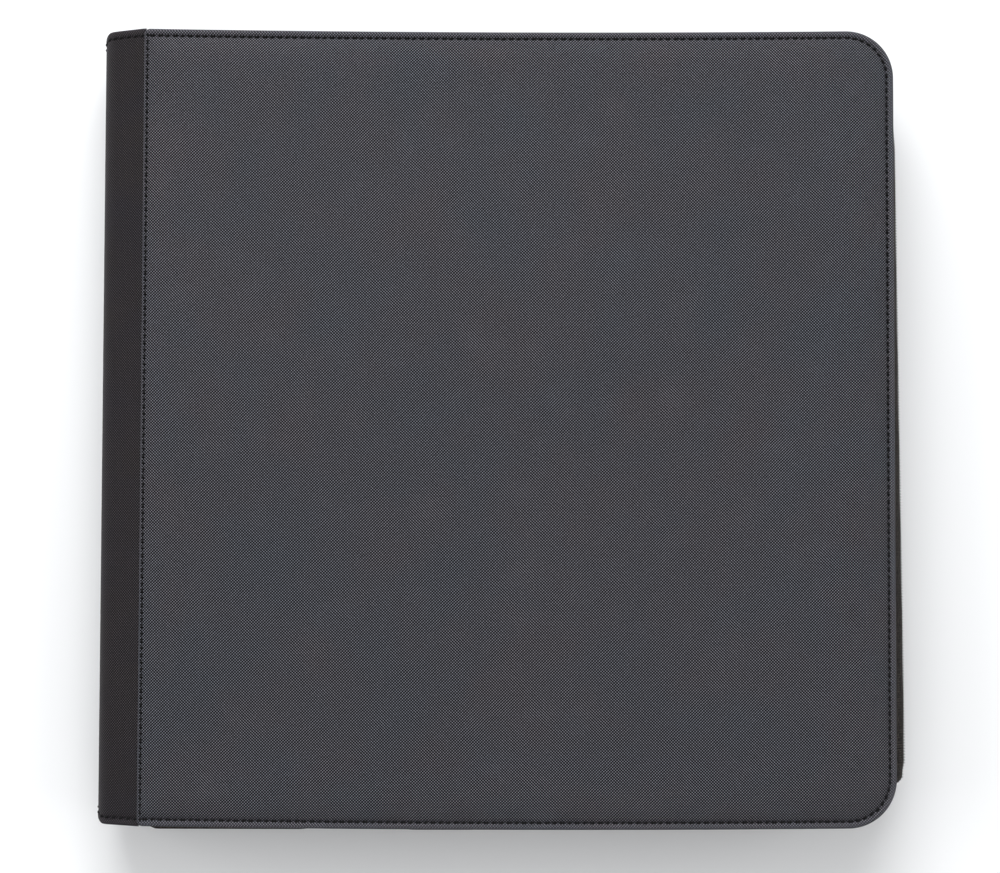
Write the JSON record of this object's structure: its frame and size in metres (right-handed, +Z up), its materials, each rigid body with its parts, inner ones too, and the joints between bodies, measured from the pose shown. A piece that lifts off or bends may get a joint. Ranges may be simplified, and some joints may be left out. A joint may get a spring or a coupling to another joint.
{
  "type": "trading card binder",
  "caption": "Square zip-around padded album with a folding spine, stiff covers and side-loading card pocket leaves.",
  "frame": {"origin": "centre of the shut album's box, on the plane that its back cover rests on", "axes": "+X from the spine to the opening edge, +Y along the spine, +Z up out of the front cover"},
  "size_m": [0.345, 0.345, 0.044],
  "materials": {
    "cover_fabric": "woven coated cloth, dark grey",
    "spine_fabric": "woven coated cloth, darker grey",
    "foam": "soft foam",
    "board": "grey board",
    "lining": "smooth black lining",
    "zip_tape": "ribbed woven tape",
    "zip_coil": "satin nylon",
    "page_sheet": "fine matt black sheet",
    "pocket_film": "clear glossy film",
    "binding": "black webbing",
    "dark_metal": "dark plated metal",
    "grip": "matt moulded grip"
  },
  "bodies": {
    "back_cover": {"back_skin": "cover_fabric", "back_padding": "foam", "back_board": "board", "back_lining": "lining", "back_zip_tape": "zip_tape", "back_zip_coil": "zip_coil", "zip_stops": "dark_metal"},
    "rear_fold": {"rear_fold_skin": "spine_fabric", "rear_fold_lining": "lining"},
    "spine": {"spine_skin": "spine_fabric", "spine_board": "board", "spine_lining": "lining", "page_binding": "binding"},
    "front_fold": {"front_fold_skin": "spine_fabric", "front_fold_lining": "lining"},
    "front_cover": {"front_skin": "cover_fabric", "front_padding": "foam", "front_board": "board", "front_lining": "lining", "front_zip_tape": "zip_tape", "front_zip_coil": "zip_coil"},
    "slider": {"slider_body": "dark_metal"},
    "pull": {"pull_tab": "dark_metal", "pull_grip": "grip"},
    "leaf_01": {"leaf_01": "page_sheet", "leaf_01_pockets": "pocket_film"},
    "leaf_02": {"leaf_02": "page_sheet", "leaf_02_pockets": "pocket_film"},
    "leaf_03": {"leaf_03": "page_sheet", "leaf_03_pockets": "pocket_film"},
    "leaf_04": {"leaf_04": "page_sheet", "leaf_04_pockets": "pocket_film"},
    "leaf_05": {"leaf_05": "page_sheet", "leaf_05_pockets": "pocket_film"},
    "leaf_06": {"leaf_06": "page_sheet", "leaf_06_pockets": "pocket_film"},
    "leaf_07": {"leaf_07": "page_sheet", "leaf_07_pockets": "pocket_film"},
    "leaf_08": {"leaf_08": "page_sheet", "leaf_08_pockets": "pocket_film"},
    "leaf_09": {"leaf_09": "page_sheet", "leaf_09_pockets": "pocket_film"},
    "leaf_10": {"leaf_10": "page_sheet", "leaf_10_pockets": "pocket_film"},
    "leaf_11": {"leaf_11": "page_sheet", "leaf_11_pockets": "pocket_film"},
    "leaf_12": {"leaf_12": "page_sheet", "leaf_12_pockets": "pocket_film"},
    "leaf_13": {"leaf_13": "page_sheet", "leaf_13_pockets": "pocket_film"},
    "leaf_14": {"leaf_14": "page_sheet", "leaf_14_pockets": "pocket_film"},
    "leaf_15": {"leaf_15": "page_sheet", "leaf_15_pockets": "pocket_film"},
    "leaf_16": {"leaf_16": "page_sheet", "leaf_16_pockets": "pocket_film"},
    "leaf_17": {"leaf_17": "page_sheet", "leaf_17_pockets": "pocket_film"},
    "leaf_18": {"leaf_18": "page_sheet", "leaf_18_pockets": "pocket_film"}
  },
  "joints": [
    {"name": "spine_hinge", "type": "hinge", "parent": "rear_fold", "child": "spine", "pos_m": [-0.1725, 0, 0.00893], "axis": [0, -1, 0], "range_deg": [0, 64.95]},
    {"name": "rear_fold_hinge", "type": "hinge", "parent": "back_cover", "child": "rear_fold", "pos_m": [-0.1534, 0, 0], "axis": [0, -1, 0], "range_deg": [0, 25.1]},
    {"name": "front_fold_hinge", "type": "hinge", "parent": "spine", "child": "front_fold", "pos_m": [-0.1725, 0, 0.03508], "axis": [0, -1, 0], "range_deg": [0, 65]},
    {"name": "front_cover_hinge", "type": "hinge", "parent": "front_fold", "child": "front_cover", "pos_m": [-0.1534, 0, 0.044], "axis": [0, -1, 0], "range_deg": [0, 25.1]},
    {"name": "leaf_01_hinge", "type": "hinge", "parent": "spine", "child": "leaf_01", "pos_m": [-0.1649, 0, 0.00993], "axis": [0, -1, 0], "range_deg": [-70.05, 0]},
    {"name": "leaf_02_hinge", "type": "hinge", "parent": "spine", "child": "leaf_02", "pos_m": [-0.1649, 0, 0.01135], "axis": [0, -1, 0], "range_deg": [-61.81, 0]},
    {"name": "leaf_03_hinge", "type": "hinge", "parent": "spine", "child": "leaf_03", "pos_m": [-0.1649, 0, 0.01277], "axis": [0, -1, 0], "range_deg": [-53.58, 0]},
    {"name": "leaf_04_hinge", "type": "hinge", "parent": "spine", "child": "leaf_04", "pos_m": [-0.1649, 0, 0.01419], "axis": [0, -1, 0], "range_deg": [-45.34, 0]},
    {"name": "leaf_05_hinge", "type": "hinge", "parent": "spine", "child": "leaf_05", "pos_m": [-0.1649, 0, 0.01561], "axis": [0, -1, 0], "range_deg": [-37.11, 0]},
    {"name": "leaf_06_hinge", "type": "hinge", "parent": "spine", "child": "leaf_06", "pos_m": [-0.1649, 0, 0.01703], "axis": [0, -1, 0], "range_deg": [-28.87, 0]},
    {"name": "leaf_07_hinge", "type": "hinge", "parent": "spine", "child": "leaf_07", "pos_m": [-0.1649, 0, 0.01845], "axis": [0, -1, 0], "range_deg": [-20.64, 0]},
    {"name": "leaf_08_hinge", "type": "hinge", "parent": "spine", "child": "leaf_08", "pos_m": [-0.1649, 0, 0.01987], "axis": [0, -1, 0], "range_deg": [-12.4, 0]},
    {"name": "leaf_09_hinge", "type": "hinge", "parent": "spine", "child": "leaf_09", "pos_m": [-0.1649, 0, 0.02129], "axis": [0, -1, 0], "range_deg": [-4.17, 0]},
    {"name": "leaf_10_hinge", "type": "hinge", "parent": "spine", "child": "leaf_10", "pos_m": [-0.1649, 0, 0.02271], "axis": [0, -1, 0], "range_deg": [0, 4.17]},
    {"name": "leaf_11_hinge", "type": "hinge", "parent": "spine", "child": "leaf_11", "pos_m": [-0.1649, 0, 0.02413], "axis": [0, -1, 0], "range_deg": [0, 12.4]},
    {"name": "leaf_12_hinge", "type": "hinge", "parent": "spine", "child": "leaf_12", "pos_m": [-0.1649, 0, 0.02555], "axis": [0, -1, 0], "range_deg": [0, 20.64]},
    {"name": "leaf_13_hinge", "type": "hinge", "parent": "spine", "child": "leaf_13", "pos_m": [-0.1649, 0, 0.02697], "axis": [0, -1, 0], "range_deg": [0, 28.87]},
    {"name": "leaf_14_hinge", "type": "hinge", "parent": "spine", "child": "leaf_14", "pos_m": [-0.1649, 0, 0.02839], "axis": [0, -1, 0], "range_deg": [0, 37.11]},
    {"name": "leaf_15_hinge", "type": "hinge", "parent": "spine", "child": "leaf_15", "pos_m": [-0.1649, 0, 0.02981], "axis": [0, -1, 0], "range_deg": [0, 45.34]},
    {"name": "leaf_16_hinge", "type": "hinge", "parent": "spine", "child": "leaf_16", "pos_m": [-0.1649, 0, 0.03123], "axis": [0, -1, 0], "range_deg": [0, 53.58]},
    {"name": "leaf_17_hinge", "type": "hinge", "parent": "spine", "child": "leaf_17", "pos_m": [-0.1649, 0, 0.03265], "axis": [0, -1, 0], "range_deg": [0, 61.81]},
    {"name": "leaf_18_hinge", "type": "hinge", "parent": "spine", "child": "leaf_18", "pos_m": [-0.1649, 0, 0.03407], "axis": [0, -1, 0], "range_deg": [0, 70.05]},
    {"name": "zip_slide", "type": "slide", "parent": "back_cover", "child": "slider", "axis": [1, 0, 0], "range_m": [0, 0.279], "deforming": ["back_zip_coil", "front_zip_coil"]},
    {"name": "pull_hinge", "type": "hinge", "parent": "slider", "child": "pull", "pos_m": [-0.1355, -0.17007, 0.022], "axis": [0, 0, -1], "range_deg": [0, 165]}
  ],
  "couplings": [
    {"joint": "rear_fold_hinge", "follows": "spine_hinge", "ratio": 0.38559},
    {"joint": "front_fold_hinge", "follows": "spine_hinge", "ratio": 1},
    {"joint": "front_cover_hinge", "follows": "spine_hinge", "ratio": 0.38559},
    {"joint": "leaf_01_hinge", "follows": "spine_hinge", "ratio": -1.0777},
    {"joint": "leaf_02_hinge", "follows": "spine_hinge", "ratio": -0.95089},
    {"joint": "leaf_03_hinge", "follows": "spine_hinge", "ratio": -0.82411},
    {"joint": "leaf_04_hinge", "follows": "spine_hinge", "ratio": -0.69732},
    {"joint": "leaf_05_hinge", "follows": "spine_hinge", "ratio": -0.57054},
    {"joint": "leaf_06_hinge", "follows": "spine_hinge", "ratio": -0.44375},
    {"joint": "leaf_07_hinge", "follows": "spine_hinge", "ratio": -0.31696},
    {"joint": "leaf_08_hinge", "follows": "spine_hinge", "ratio": -0.19018},
    {"joint": "leaf_09_hinge", "follows": "spine_hinge", "ratio": -0.063393},
    {"joint": "leaf_10_hinge", "follows": "spine_hinge", "ratio": 0.063393},
    {"joint": "leaf_11_hinge", "follows": "spine_hinge", "ratio": 0.19018},
    {"joint": "leaf_12_hinge", "follows": "spine_hinge", "ratio": 0.31696},
    {"joint": "leaf_13_hinge", "follows": "spine_hinge", "ratio": 0.44375},
    {"joint": "leaf_14_hinge", "follows": "spine_hinge", "ratio": 0.57054},
    {"joint": "leaf_15_hinge", "follows": "spine_hinge", "ratio": 0.69732},
    {"joint": "leaf_16_hinge", "follows": "spine_hinge", "ratio": 0.82411},
    {"joint": "leaf_17_hinge", "follows": "spine_hinge", "ratio": 0.95089},
    {"joint": "leaf_18_hinge", "follows": "spine_hinge", "ratio": 1.0777}
  ]
}
